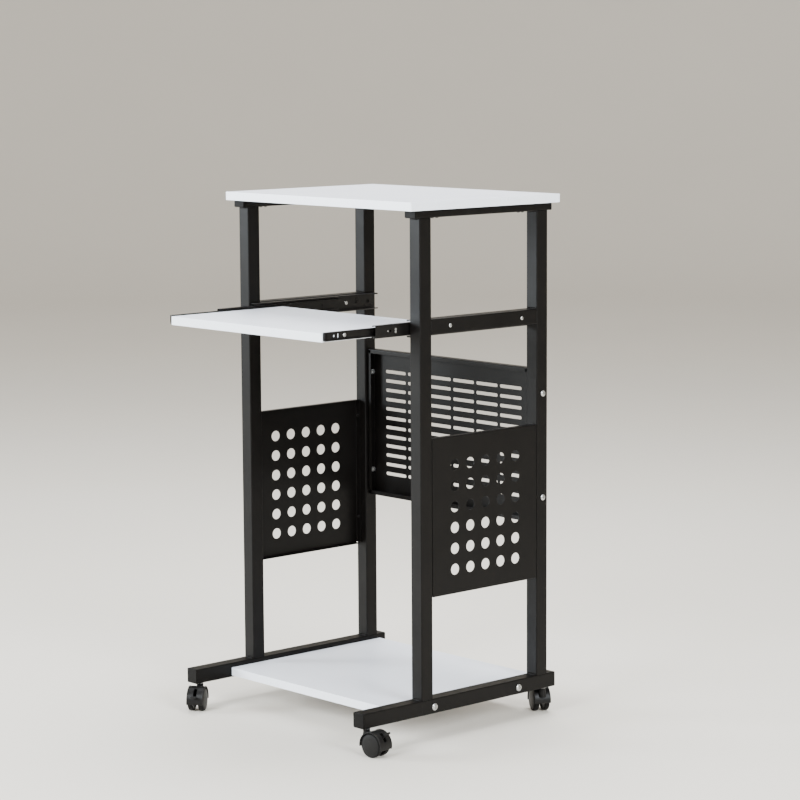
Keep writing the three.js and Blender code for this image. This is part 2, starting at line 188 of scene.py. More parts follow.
def prism(bm, place, outline, w0, w1, holes=(), edge=0.4, steps=4):
    """Outline with holes, from w0 to w1, every rim rounded by edge."""
    layer = edge_layer(bm)
    turns = [math.pi / 2 * k / steps for k in range(steps + 1)]
    low = [(edge * (1 - math.sin(a)), w0 + edge * (1 - math.cos(a)), math.sin(2 * a)) for a in turns]
    high = [(d, w0 + w1 - w, wear) for d, w, wear in reversed(low)]
    caps = ([], [])
    for i, loop in enumerate([outline, *holes]):
        sign = 1 if i == 0 else -1
        rings = []
        for d, w, wear in low + high:
            ring = [bm.verts.new(place @ Vector((p.x, p.y, w))) for p in loop(sign * d)]
            for v in ring:
                v[layer] = wear
            rings.append(ring)
        for a, b in zip(rings, rings[1:]):
            for k in range(len(a)):
                j = (k + 1) % len(a)
                bm.faces.new((a[k], a[j], b[j], b[k]))
        caps[0].append(rings[0])
        caps[1].append(rings[-1])
    normal = place.to_3x3() @ Vector((0, 0, 1))
    for cap in caps:
        if len(cap) == 1:
            bm.faces.new(cap[0])
        else:
            rim = [bm.edges.get((r[k - 1], r[k])) for r in cap for k in range(len(r))]
            bmesh.ops.triangle_fill(bm, use_beauty=True, edges=rim, normal=normal)


def lathe(bm, place, profile, n=40, closed=False):
    """Profile of (r, w) turned about w; it runs from axis to axis, or is closed."""
    edge_layer(bm)
    rings = []
    for r, w in profile:
        if r < 1e-6:
            rings.append([bm.verts.new(place @ Vector((0, 0, w)))])
        else:
            turns = [2 * math.pi * k / n for k in range(n)]
            rings.append([bm.verts.new(place @ Vector((r * math.cos(a), r * math.sin(a), w))) for a in turns])
    pairs = list(zip(rings, rings[1:]))
    if closed:
        pairs.append((rings[-1], rings[0]))
    for a, b in pairs:
        for k in range(n):
            j = (k + 1) % n
            corners = (a[k % len(a)], a[j % len(a)], b[j % len(b)], b[k % len(b)])
            face = [v for i, v in enumerate(corners) if v not in corners[:i]]
            if len(face) > 2:
                bm.faces.new(face)


def softened(points, r, arc=4, closed=False):
    """Lathe profile with its inner corners rounded by r, which is one number or one per corner."""
    points = [Vector(p) for p in points]
    radii = r if hasattr(r, "__len__") else [r] * len(points)
    out = []
    for i, p in enumerate(points):
        if not closed and i in (0, len(points) - 1):
            out.append((p.x, p.y))
            continue
        e1, e2 = (p - points[i - 1]).normalized(), (points[(i + 1) % len(points)] - p).normalized()
        turn = e1.angle(e2)
        if turn < 1e-3 or radii[i] <= 0:
            out.append((p.x, p.y))
            continue
        t = radii[i] * math.tan(turn / 2)
        a, b = p - e1 * t, p + e2 * t
        for k in range(arc + 1):
            s = k / arc
            q = a * (1 - s) ** 2 + p * 2 * s * (1 - s) + b * s ** 2
            out.append((q.x, q.y))
    return out


def bead(bm, start, end, r, ripple=2.3, sides=8):
    """Weld bead along a line, with the small scales that the torch leaves."""
    layer = edge_layer(bm)
    start, end = Vector(start), Vector(end)
    run = end - start
    forward = run.normalized()
    up = forward.orthogonal().normalized()
    across = forward.cross(up)
    steps = max(8, int(run.length / ripple * 4))
    rings = [[bm.verts.new(start)]]
    for i in range(1, steps):
        s = i / steps
        taper = min(1, 6 * min(s, 1 - s)) ** 0.5
        size = r * taper * (1 + 0.1 * math.sin(2 * math.pi * s * run.length / ripple))
        wander = 0.12 * r * math.sin(9.1 * s + start.x)
        ring = []
        for k in range(sides):
            a = 2 * math.pi * k / sides
            offset = (up * math.cos(a) + across * math.sin(a)) * size
            v = bm.verts.new(start + run * s + offset + across * wander)
            v[layer] = 0.3
            ring.append(v)
        rings.append(ring)
    rings.append([bm.verts.new(end)])
    for a, b in zip(rings, rings[1:]):
        for k in range(sides):
            j = (k + 1) % sides
            corners = (a[k % len(a)], a[j % len(a)], b[j % len(b)], b[k % len(b)])
            face = [v for i, v in enumerate(corners) if v not in corners[:i]]
            if len(face) > 2:
                bm.faces.new(face)


def to_object(name, bm):
    bmesh.ops.recalc_face_normals(bm, faces=bm.faces)
    mesh = bpy.data.meshes.new(name)
    bm.to_mesh(mesh)
    bm.free()
    obj = bpy.data.objects.new(name, mesh)
    bpy.context.scene.collection.objects.link(obj)
    return obj


def carve(bm, cutters):
    """bm with the closed shells of cutters cut away, as a new bmesh."""
    body, tool = to_object("carve_body", bm), to_object("carve_tool", cutters)
    cut = body.modifiers.new("cut", "BOOLEAN")
    cut.operation, cut.object, cut.solver, cut.use_self = "DIFFERENCE", tool, "EXACT", True
    result = bmesh.new()
    result.from_mesh(body.evaluated_get(bpy.context.evaluated_depsgraph_get()).to_mesh())
    for obj in (body, tool):
        bpy.data.objects.remove(obj)
    edge_layer(result)
    return result


def piece(name, bm, body, finish, replaces=(), sharp=40):
    """Turns a bmesh in trolley millimetres into a piece that rides on a body."""
    bm.transform(HOME)
    obj = to_object(name, bm)
    obj.data.shade_smooth()
    obj.data.set_sharp_from_angle(angle=math.radians(sharp))
    obj.data.materials.append(MATERIALS[finish])
    normals = obj.modifiers.new("normals", "WEIGHTED_NORMAL")
    normals.keep_sharp = True
    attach(obj, body)
    if replaces:
        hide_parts(*replaces)
    return obj


# ------------------------------------------------------------------ materials
class Nodes:
    """A new material and short calls for the nodes it is made of."""

    def __init__(self, name):
        self.material = bpy.data.materials.new(name)
        self.material.use_nodes = True
        self.tree = self.material.node_tree
        self.shader = self.tree.nodes["Principled BSDF"]
        self.place = self.tree.nodes.new("ShaderNodeTexCoord").outputs["Object"]

    def node(self, kind, inputs=None, **settings):
        new = self.tree.nodes.new(kind)
        for key, value in settings.items():
            setattr(new, key, value)
        for key, value in (inputs or {}).items():
            if isinstance(value, bpy.types.NodeSocket):
                self.tree.links.new(value, new.inputs[key])
            else:
                new.inputs[key].default_value = value
        return new

    def stretch(self, scale):
        return self.node("ShaderNodeMapping", {"Vector": self.place, "Scale": scale}).outputs[0]

    def noise(self, size, detail=3.0, rough=0.5, vector=None):
        """Noise whose grains are about size metres across."""
        inputs = {"Vector": vector or self.place, "Scale": 1 / size, "Detail": detail, "Roughness": rough}
        return self.node("ShaderNodeTexNoise", inputs).outputs["Fac"]

    def cells(self, size):
        inputs = {"Vector": self.place, "Scale": 1 / size}
        return self.node("ShaderNodeTexVoronoi", inputs).outputs["Distance"]

    def range(self, value, low, high, start=0.0, end=1.0):
        inputs = {"Value": value, "From Min": low, "From Max": high, "To Min": start, "To Max": end}
        return self.node("ShaderNodeMapRange", inputs).outputs["Result"]

    def math(self, operation, a, b):
        return self.node("ShaderNodeMath", {0: a, 1: b}, operation=operation).outputs[0]

    def mixer(self, share, colour):
        """Colour mix node that goes to colour as far as share says."""
        new = self.tree.nodes.new("ShaderNodeMix")
        new.data_type = "RGBA"
        self.tree.links.new(share, new.inputs[0])
        new.inputs[7].default_value = (*colour, 1)
        return new

    def mix(self, share, a, b):
        new = self.mixer(share, b)
        new.inputs[6].default_value = (*a, 1)
        return new.outputs[2]

    def over(self, share, below, colour):
        """colour laid over the socket below, as much as share says."""
        new = self.mixer(share, colour)
        self.tree.links.new(below, new.inputs[6])
        return new.outputs[2]

    def bump(self, *layers):
        """Bump from (height, metres, strength) layers."""
        normal = None
        for height, distance, strength in layers:
            inputs = {"Height": height, "Distance": distance, "Strength": strength}
            if normal:
                inputs["Normal"] = normal
            normal = self.node("ShaderNodeBump", inputs).outputs[0]
        self.tree.links.new(normal, self.shader.inputs["Normal"])

    def edge(self):
        return self.node("ShaderNodeAttribute", attribute_name="edge").outputs["Fac"]

    def finish(self, colour, roughness, **constants):
        self.tree.links.new(colour, self.shader.inputs["Base Color"])
        self.tree.links.new(roughness, self.shader.inputs["Roughness"])
        for key, value in constants.items():
            self.shader.inputs[key.replace("_", " ")].default_value = value
        return self.material


def powder_coat():
    """Satin black powder coat on steel: orange peel, faint dust, edges rubbed a little lighter."""
    m = Nodes("powder_coat")
    tone = m.mix(m.range(m.noise(0.09, 4), 0.3, 0.7), (0.0020, 0.0016, 0.0014), (0.0034, 0.0028, 0.0024))
    worn = m.math("MULTIPLY", m.edge(), m.range(m.noise(0.006, 5, 0.65), 0.42, 0.7))
    tone = m.over(m.math("MULTIPLY", worn, 0.55), tone, (0.022, 0.0205, 0.0195))
    dust = m.range(m.noise(0.0009, 2), 0.68, 0.82, 0, 0.3)
    tone = m.over(dust, tone, (0.018, 0.016, 0.014))
    rough = m.math("ADD", m.range(m.noise(0.03, 5, 0.6), 0.3, 0.7, 0.36, 0.47), m.math("MULTIPLY", worn, 0.1))
    m.bump((m.noise(0.0021, 2), 0.00016, 0.5), (m.noise(0.0006, 2), 0.00004, 0.35))
    return m.finish(tone, rough, Specular_IOR_Level=0.12, Coat_Weight=0.02, Coat_Roughness=0.3)


def slide_coat():
    """Thin black electro-coat on rolled steel: smoother than the frame, with faint rolling lines."""
    m = Nodes("slide_coat")
    drawn = m.noise(0.0012, 3, 0.6, m.stretch((1, 0.03, 1)))
    tone = m.mix(m.range(drawn, 0.3, 0.7), (0.0022, 0.0019, 0.0018), (0.0045, 0.0039, 0.0036))
    worn = m.math("MULTIPLY", m.edge(), m.range(m.noise(0.004, 4), 0.45, 0.7))
    tone = m.over(m.math("MULTIPLY", worn, 0.6), tone, (0.06, 0.058, 0.056))
    rough = m.range(m.noise(0.015, 4), 0.3, 0.7, 0.27, 0.4)
    m.bump((drawn, 0.00003, 0.35))
    return m.finish(tone, rough, Specular_IOR_Level=0.2, Coat_Weight=0.05, Coat_Roughness=0.2)


def melamine():
    """White melamine board face: very fine pearl texture, slight cloudiness, light scuffs."""
    m = Nodes("melamine")
    tone = m.mix(m.range(m.noise(0.13, 3), 0.35, 0.65), (0.805, 0.825, 0.89), (0.84, 0.86, 0.92))
    scuff = m.range(m.noise(0.0025, 4, 0.7, m.stretch((0.15, 1, 1))), 0.66, 0.8, 0, 0.12)
    tone = m.over(scuff, tone, (0.62, 0.62, 0.66))
    rough = m.range(m.noise(0.02, 5, 0.6), 0.3, 0.7, 0.3, 0.4)
    m.bump((m.noise(0.0016, 3), 0.00006, 0.35), (m.cells(0.0011), 0.00003, 0.2))
    return m.finish(tone, rough, Specular_IOR_Level=0.45)


def edge_banding():
    """White plastic edge band: smoother than the face, with faint lengthwise lines; its tone, brighter and
    bluer than the face, is painted light on the board edges and painted cool shade laid over the band's own
    white.
    """
    m = Nodes("edge_banding")
    lines = m.noise(0.0011, 3, 0.5, m.stretch((0.04, 0.04, 1)))
    # the band's own white, lifted brighter and bluer than the face: painted light on the lit edges and
    # painted cool shade
    tone = m.mix(m.range(lines, 0.3, 0.7), (0.86, 0.90, 0.97), (0.89, 0.925, 0.985))
    grime = m.math("MULTIPLY", m.edge(), m.range(m.noise(0.009, 4), 0.5, 0.75))
    tone = m.over(m.math("MULTIPLY", grime, 0.25), tone, (0.55, 0.55, 0.58))
    rough = m.range(m.noise(0.01, 4), 0.3, 0.7, 0.26, 0.36)
    m.bump((lines, 0.00005, 0.25))
    return m.finish(tone, rough, Specular_IOR_Level=0.5)


def moulded(name, dark, light, rough, grain, gloss):
    """Moulded black plastic with a spark-eroded grain; rough is its lowest and highest roughness."""
    m = Nodes(name)
    tone = m.mix(m.range(m.noise(0.02, 4), 0.3, 0.7), dark, light)
    worn = m.math("MULTIPLY", m.edge(), m.range(m.noise(0.003, 4), 0.4, 0.7))
    tone = m.over(m.math("MULTIPLY", worn, 0.5), tone, tuple(4 * c for c in light))
    dust = m.range(m.noise(0.0012, 3), 0.6, 0.8, 0, 0.2)
    tone = m.over(dust, tone, (0.02, 0.0185, 0.017))
    roughness = m.range(m.noise(0.006, 4), 0.3, 0.7, *rough)
    m.bump((m.noise(grain, 2), 0.00005, 0.5), (m.cells(grain * 1.7), 0.00003, 0.3))
    return m.finish(tone, roughness, Specular_IOR_Level=gloss)


def zinc_plate():
    """Bright zinc plate: crystalline tone, faint stains, fine grain in the bump."""
    m = Nodes("zinc_plate")
    tone = m.mix(m.range(m.cells(0.0016), 0.1, 0.8), (0.38, 0.385, 0.39), (0.52, 0.52, 0.505))
    stain = m.range(m.noise(0.004, 4), 0.55, 0.75, 0, 0.35)
    tone = m.over(stain, tone, (0.27, 0.262, 0.24))
    rough = m.range(m.noise(0.0016, 4, 0.6), 0.3, 0.7, 0.2, 0.36)
    m.bump((m.noise(0.0007, 2), 0.00002, 0.5))
    return m.finish(tone, rough, Metallic=0.9)


MATERIALS = {
    "coat": powder_coat(),
    "slide": slide_coat(),
    "face": melamine(),
    "band": edge_banding(),
    "cap": moulded("end_cap_plastic", (0.0026, 0.0022, 0.0020), (0.0043, 0.0037, 0.0034),
                   rough=(0.42, 0.54), grain=0.0006, gloss=0.08),
    "nylon": moulded("castor_nylon", (0.0042, 0.0038, 0.0037), (0.0070, 0.0066, 0.0063),
                     rough=(0.36, 0.48), grain=0.0005, gloss=0.16),
    "tyre": moulded("castor_tread", (0.0022, 0.0020, 0.0019), (0.0040, 0.0036, 0.0033),
                    rough=(0.5, 0.66), grain=0.0007, gloss=0.12),
    "zinc": zinc_plate(),
}


# ------------------------------------------------------------------ camera, light, floor
def make_camera():
    azimuth, pitch, roll = (math.radians(a) for a in (47.693, 7.516, -0.332))
    at = HOME @ Vector((4098.8, -3708.5, 1365.6))
    data = bpy.data.cameras.new("camera")
    data.sensor_width, data.lens = 36, 122.96
    data.clip_end = 100
    camera = bpy.data.objects.new("camera", data)
    turn = Matrix.Rotation(azimuth, 4, "Z") @ Matrix.Rotation(math.pi / 2 - pitch, 4, "X")
    turn = turn @ Matrix.Rotation(roll, 4, "Z")
    camera.matrix_world = Matrix.Translation(at) @ turn
    bpy.context.scene.collection.objects.link(camera)
    bpy.context.scene.camera = camera


def area_light(name, at, target, size, power, colour=(1, 1, 1)):
    data = bpy.data.lights.new(name, "AREA")
    data.shape, data.size, data.energy, data.color = "DISK", size, power, colour
    light = bpy.data.objects.new(name, data)
    aim = Vector(target) - Vector(at)
    light.matrix_world = Matrix.Translation(at) @ aim.to_track_quat("-Z", "Y").to_matrix().to_4x4()
    bpy.context.scene.collection.objects.link(light)


def make_studio():
    area_light("key", (0.6, -5.0, 2.9), (0, 0, 0.8), 2.4, 440, (0.90, 0.955, 1))
    area_light("fill", (5.0, -0.6, 2.7), (0, 0, 0.8), 2.4, 400, (0.90, 0.955, 1))
    area_light("side", (-3.6, -3.4, 1.7), (0, 0, 1.0), 1.7, 340, (0.86, 0.94, 1))
    area_light("top", (-0.4, 0.8, 4.0), (0, 0, 0.6), 2.6, 240, (0.95, 0.975, 1))
    world = bpy.data.worlds.new("studio")
    world.use_nodes = True
    shade = world.node_tree.nodes["Background"].inputs
    shade["Color"].default_value = (1.0, 0.985, 0.965, 1)
    shade["Strength"].default_value = 0.8
    bpy.context.scene.world = world


def make_floor():
    """Plain studio floor, which curves up into a wall far away on every side."""
    bm = bmesh.new()
    flat, bend, top = 9000, 4000, 9000
    turns = [math.pi * k / 24 for k in range(13)]
    curve = [(flat + bend * math.sin(a), bend * (1 - math.cos(a))) for a in turns]
    lathe(bm, HOME, [(0, 0), *curve, (flat + bend, top)], 96)
    floor = to_object("floor", bm)
    floor.data.polygons.foreach_set("use_smooth", [True] * len(floor.data.polygons))
    m = Nodes("floor")
    tone = m.mix(m.noise(0.8, 3), (0.72, 0.675, 0.60), (0.75, 0.705, 0.63))
    floor.data.materials.append(m.finish(tone, m.range(m.noise(0.3, 3), 0, 1, 0.5, 0.6)))


# ------------------------------------------------------------------ fasteners, at the outer face, w outwards
def head_profile(r, height):
    """Half section of a pan head, from its flat underside to the top of its dome."""
    side = 0.45 * height
    dome = [(r * 0.94 * math.cos(a), side + (height - side) * math.sin(a)) for a in (0.35, 0.7, 1.05, 1.35)]
    return softened([(0, 0), (r, 0), (r, side), *dome, (0, height)], [0, 0.25, 0.35, 0, 0, 0, 0, 0])


def cross_recess(bm, place, r, height):
    arm, half = 0.52 * r, 0.15 * r
    depth = min(0.36 * r, 0.6 * height)
    for w, h in ((2 * arm, 2 * half), (2 * half, 2 * arm)):
        prism(bm, place, rect(w, h, half * 0.5, arc=2), height - depth, height + 1, edge=0.02, steps=1)


HEADS = {}


def screw(place, r, height, shank=0.0, shank_r=0.0):
    """Pan head with a cross recess and, behind it, a plain shank. Each size of head is cut once."""
    if (r, height) not in HEADS:
        head, tool = bmesh.new(), bmesh.new()
        lathe(head, Matrix(), head_profile(r, height), 28)
        cross_recess(tool, Matrix(), r, height)
        head = carve(head, tool)
        HEADS[r, height] = bpy.data.meshes.new("screw_head")
        head.to_mesh(HEADS[r, height])
        head.free()
    bm = bmesh.new()
    bm.from_mesh(HEADS[r, height])
    bm.transform(place)
    if shank:
        line = [(0, -shank), (shank_r * 0.8, -shank), (shank_r, 0.4 - shank), (shank_r, 0.2), (0, 0.2)]
        lathe(bm, place, line, 16)
    return bm


def thread(bm, place, r, w0, w1, pitch=0.8):
    """Shank with its thread drawn as grooves."""
    turns = int((w1 - w0) / pitch)
    line = [(0, w0), (r - 0.35, w0)]
    for k in range(turns):
        line += [(r, w0 + (k + 0.5) * pitch), (r - 0.35, w0 + (k + 1) * pitch)]
    lathe(bm, place, [*line, (0, w0 + turns * pitch)], 20)


def hex_nut(bm, place, flats, bore, w0, w1):
    corner = flats / math.sqrt(3)
    outline = rounded(arc_points(0, 0, corner, 0, 300, 5), 0.5, 3)
    prism(bm, place, outline, w0, w1, [disc(bore, n=20)], edge=0.35, steps=3)


def seat(node, s, height):
    """Place of a bolt whose head stands up by height from the outer face of a tube."""
    low, high = span(node)
    x = high.x - height if s > 0 else low.x + height
    return along_x((x, centre(node).y, centre(node).z), s)


def make_bolts():
    for side, s in SIDES.items():
        for end in ENDS:
            node = f"shelf_bolt_{end}_{side}"
            bm = screw(seat(node, s, SHELF_HEAD[1]), *SHELF_HEAD, *SHELF_SHANK)
            piece(node + "_screw", bm, "frame", "zinc", [node])
        for level in ("lower", "upper"):
            node = f"panel_bolt_{level}_{side}"
            low, high = span(node)
            length = high.x - low.x - PANEL_HEAD[1]
            place = seat(node, s, PANEL_HEAD[1])
            bm = screw(place, *PANEL_HEAD)
            thread(bm, place, PANEL_SHANK_R, -length, 0.2)
            hex_nut(bm, place, NUT_FLATS, NUT_BORE, -length + 1, -length + 5)
            piece(node + "_screw", bm, "frame", "zinc", [node])


# ------------------------------------------------------------------ boards
def board(node, body):
    """Melamine core with an edge band all round, a hair's step between them."""
    low, high = span(node)
    mid, size = (low + high) / 2, high - low
    place = along_z((mid.x, mid.y, 0))
    inside = (size.x - 2 * EDGE_BAND, size.y - 2 * EDGE_BAND)
    core = bmesh.new()
    prism(core, place, rect(*inside, 0.3, arc=2), low.z, high.z, edge=0.12, steps=2)
    piece(node + "_core", core, body, "face", [node], sharp=30)
    band = bmesh.new()
    prism(band, place, rect(size.x, size.y, 2.0), low.z + 0.03, high.z - 0.03, [rect(*inside, 0.3, arc=2)],
          edge=0.42, steps=4)
    piece(node + "_edge_band", band, body, "band")


# ------------------------------------------------------------------ steel tubes and their welds
def upright(node):
    low, high = span(node)
    mid, size = (low + high) / 2, high - low
    bm = bmesh.new()
    hollow = rect(size.x - 2 * WALL, size.y - 2 * WALL, TUBE_R - WALL)
    prism(bm, along_z((mid.x, mid.y, 0)), rect(size.x, size.y, TUBE_R), low.z - WELD_GAP, high.z + WELD_GAP,
          [hollow], edge=0.25, steps=3)
    piece(node + "_tube", bm, "frame", "coat", [node])


def rail(node, grow=0.0):
    """Tube along Y."""
    low, high = span(node)
    mid, size = (low + high) / 2, high - low
    bm = bmesh.new()
    hollow = rect(size.x - 2 * WALL, size.z - 2 * WALL, TUBE_R - WALL)
    prism(bm, along_y((mid.x, 0, mid.z)), rect(size.x, size.z, TUBE_R), low.y - grow, high.y + grow,
          [hollow], edge=0.25, steps=3)
    piece(node + "_tube", bm, "frame", "coat", [node])


def end_cap(node, end):
    """Moulded plug: a cushion-edged plate over the tube's end, with ribs on the plug inside."""
    low, high = span(node)
    mid, size = (low + high) / 2, high - low
    t = ENDS[end]
    outer = low.y if t < 0 else high.y
    place = axes((1, 0, 0), (0, 0, 1), (0, -t, 0), (mid.x, outer, mid.z))
    bm = bmesh.new()
    prism(bm, place, rect(size.x, size.z, TUBE_R), 0, CAP_PLATE, edge=1.1, steps=5)
    inset = 2 * (WALL + 0.3)
    for k in range(4):
        fin = inset if k % 2 == 0 else inset + 1.6
        prism(bm, place, rect(size.x - fin, size.z - fin, 1.0), 2.6 + 3 * k, 5.8 + 3 * k, edge=0.2, steps=2)
    piece(node + "_moulding", bm, "frame", "cap", [node])


def corner_welds(bm, node, plane, at):
    """Two beads across the tube, where the plane at a height meets the faces at the given Y."""
    low, high = span(node)
    for y in at:
        bead(bm, (low.x + 2.0, y, plane), (high.x - 2.0, y, plane), 2.6)


def make_welds():
    for side, s in SIDES.items():
        bm = bmesh.new()
        foot, top, middle = span(f"foot_rail_{side}"), span(f"top_rail_{side}"), span(f"middle_rail_{side}")
        outer = max(abs(foot[0].x), abs(foot[1].x)) * s
        for end in ENDS:
            post = span(f"post_{end}_{side}")
            for plane in (foot[1].z, top[0].z):
                corner_welds(bm, f"post_{end}_{side}", plane, (post[0].y, post[1].y))
            seam = foot[1].z + 0.1
            bead(bm, (outer - 0.75 * s, post[0].y + 3, seam), (outer - 0.75 * s, post[1].y - 3, seam), 0.95)
        inner_front, inner_rear = middle[0].y, middle[1].y
        for plane in (middle[0].z, middle[1].z):
            corner_welds(bm, f"middle_rail_{side}", plane, (inner_front, inner_rear))
        for y in (inner_front, inner_rear):
            bead(bm, (outer - 0.75 * s, y, middle[0].z + 3), (outer - 0.75 * s, y, middle[1].z - 3), 0.95)
        front = span(f"post_front_{side}")[0].y
        bead(bm, (outer - 0.75 * s, front, foot[0].z + 1), (outer - 0.75 * s, front, foot[1].z - 5), 1.0)
        bead(bm, (foot[0].x + 3, front, foot[0].z + 0.7), (foot[1].x - 1, front, foot[0].z + 0.7), 1.2)
        piece(f"welds_{side}", bm, "frame", "coat")


def make_frame():
    for side in SIDES:
        for end in ENDS:
            upright(f"post_{end}_{side}")
            end_cap(f"end_cap_foot_{end}_{side}", end)
            end_cap(f"end_cap_top_{end}_{side}", end)
        rail(f"foot_rail_{side}")
        rail(f"top_rail_{side}")
        rail(f"middle_rail_{side}", grow=WELD_GAP)
    make_welds()


# ------------------------------------------------------------------ perforated side panels
def spread(count, pitch):
    """Places of count things, pitch apart, centred on zero."""
    return [(k - (count - 1) / 2) * pitch for k in range(count)]


def side_panel(side, s):
    """Sheet tray: flat face with round holes, and four flanges bent inwards with notched corners."""
    node = f"side_panel_{side}"
    low, high = span(node)
    mid, size = (low + high) / 2, high - low
    face_x = high.x if s > 0 else low.x
    depth = size.x
    bend = BEND + SHEET / 2
    holes = [
        disc(HOLE_R, u, HOLE_LOW + row * HOLE_PITCH - mid.z, 36)
        for u in spread(HOLE_COLS, HOLE_PITCH) for row in range(HOLE_ROWS)
    ]
    bm = bmesh.new()
    # local u along Y, v along Z, w inwards from the outer face
    place = axes((0, 1, 0), (0, 0, 1), (-s, 0, 0), (face_x, mid.y, mid.z))
    flat = (size.y - 2 * bend, size.z - 2 * bend)
    prism(bm, place, rect(*flat, 0.05, arc=1), 0, SHEET, holes, edge=0.22, steps=3)
    # each flange is a bent strip, swept along the side it hangs on
    for across, along in ((0, 1), (1, 0)):
        reach, run = size[1 + across] / 2, size[1 + along] / 2 - RELIEF
        for t in (-1, 1):
            edge = reach - SHEET / 2
            line = [(reach - bend - 0.6, SHEET / 2), (edge, SHEET / 2), (edge, depth)]
            outwards = (0, t, 0) if across == 0 else (0, 0, t)
            sweep = (0, 0, 1) if across == 0 else (0, 1, 0)
            place = axes(outwards, (-s, 0, 0), sweep, (face_x, mid.y, mid.z))
            prism(bm, place, strip(line, SHEET), -run, run, edge=0.2, steps=2)
    piece(node + "_sheet", bm, "frame", "coat", [node])
    for t in (-1, 1):
        for z in FLANGE_SCREWS_Z:
            face = (face_x - s * 6.5, mid.y + t * (size.y / 2 - SHEET), z)
            place = axes((1, 0, 0), (0, 0, 1), (0, -t, 0), face)
            tag = f"{'front' if t < 0 else 'rear'}_{z}"
            piece(f"flange_screw_{side}_{tag}", screw(place, 3.2, 1.6), "frame", "slide")


# ------------------------------------------------------------------ slotted back panel
def back_panel():
    """Deep sheet tray, open to the front, with return lips round the opening."""
    low, high = span("back_panel")
    mid, size = (low + high) / 2, high - low
    bend = BEND + SHEET / 2
    depth = size.y
    slots = [
        slot(SLOT_L, SLOT_H, u, v)
        for u in spread(SLOT_COLS, SLOT_PITCH_X) for v in spread(SLOT_ROWS, SLOT_PITCH_Z)
    ]
    bm = bmesh.new()
    at = (mid.x, high.y, mid.z)
    flat = (size.x - 2 * bend, size.z - 2 * bend)
    place = axes((1, 0, 0), (0, 0, 1), (0, -1, 0), at)
    prism(bm, place, rect(*flat, 0.05, arc=1), 0, SHEET, slots, edge=0.22, steps=3)
    for across, along in ((0, 2), (2, 0)):
        reach, run = size[across] / 2, size[along] / 2 - RELIEF
        for t in (-1, 1):
            edge = reach - SHEET / 2
            line = [(reach - bend - 0.6, SHEET / 2), (edge, SHEET / 2), (edge, depth - SHEET / 2),
                    (reach - LIP, depth - SHEET / 2)]
            outwards = (t, 0, 0) if across == 0 else (0, 0, t)
            sweep = (0, 0, 1) if across == 0 else (1, 0, 0)
            prism(bm, axes(outwards, (0, -1, 0), sweep, at), strip(line, SHEET), -run, run, edge=0.2, steps=2)
    piece("back_panel_sheet", bm, "frame", "coat", ["back_panel"])


# ------------------------------------------------------------------ telescopic slides
def channel_line(web, mouth, half, lip):
    """Mid-line of a rolled channel: web at one x, open at the other, half its height, lips or none."""
    d = 1 if mouth > web else -1
    t = SLIDE_T / 2
    line = [(mouth - d * t, half - lip), (mouth - d * t, half - t)] if lip else [(mouth, half - t)]
    line += [(web + d * t, half - t), (web + d * t, -half + t)]
    line += [(mouth - d * t, -half + t), (mouth - d * t, -half + lip)] if lip else [(mouth, -half + t)]
    return line


def channel(node, s, web_side, lip):
    """Channel along Y. web_side is +1 where the web is the outer face of the trolley's side."""
    low, high = span(node)
    outer, inner = (high.x, low.x) if s > 0 else (low.x, high.x)
    web, mouth = (outer, inner) if web_side > 0 else (inner, outer)
    half = (high.z - low.z) / 2
    bm = bmesh.new()
    outline = strip(channel_line(web, mouth, half, lip), SLIDE_T, 1.3)
    prism(bm, along_y((0, 0, (low.z + high.z) / 2)), outline, low.y, high.y, edge=0.2, steps=2)
    return bm, web


def web_holes(bm, web, z, marks):
    """Punches (y, kind) through the web: a round hole, a tall or a long slot, or a tongue window."""
    tool = bmesh.new()
    shapes = {
        "hole": disc(2.2, n=20), "big": disc(4.2, n=28), "tall": slot(3.4, 8.5), "long": slot(9.0, 4.2),
        "window": rect(15, 7.5, 1.2, arc=3),
    }
    for y, kind in marks:
        place = axes((0, 1, 0), (0, 0, 1), (1, 0, 0), (web, y, z))
        prism(tool, place, shapes[kind], -3, 3, edge=0.02, steps=1)
    return carve(bm, tool)


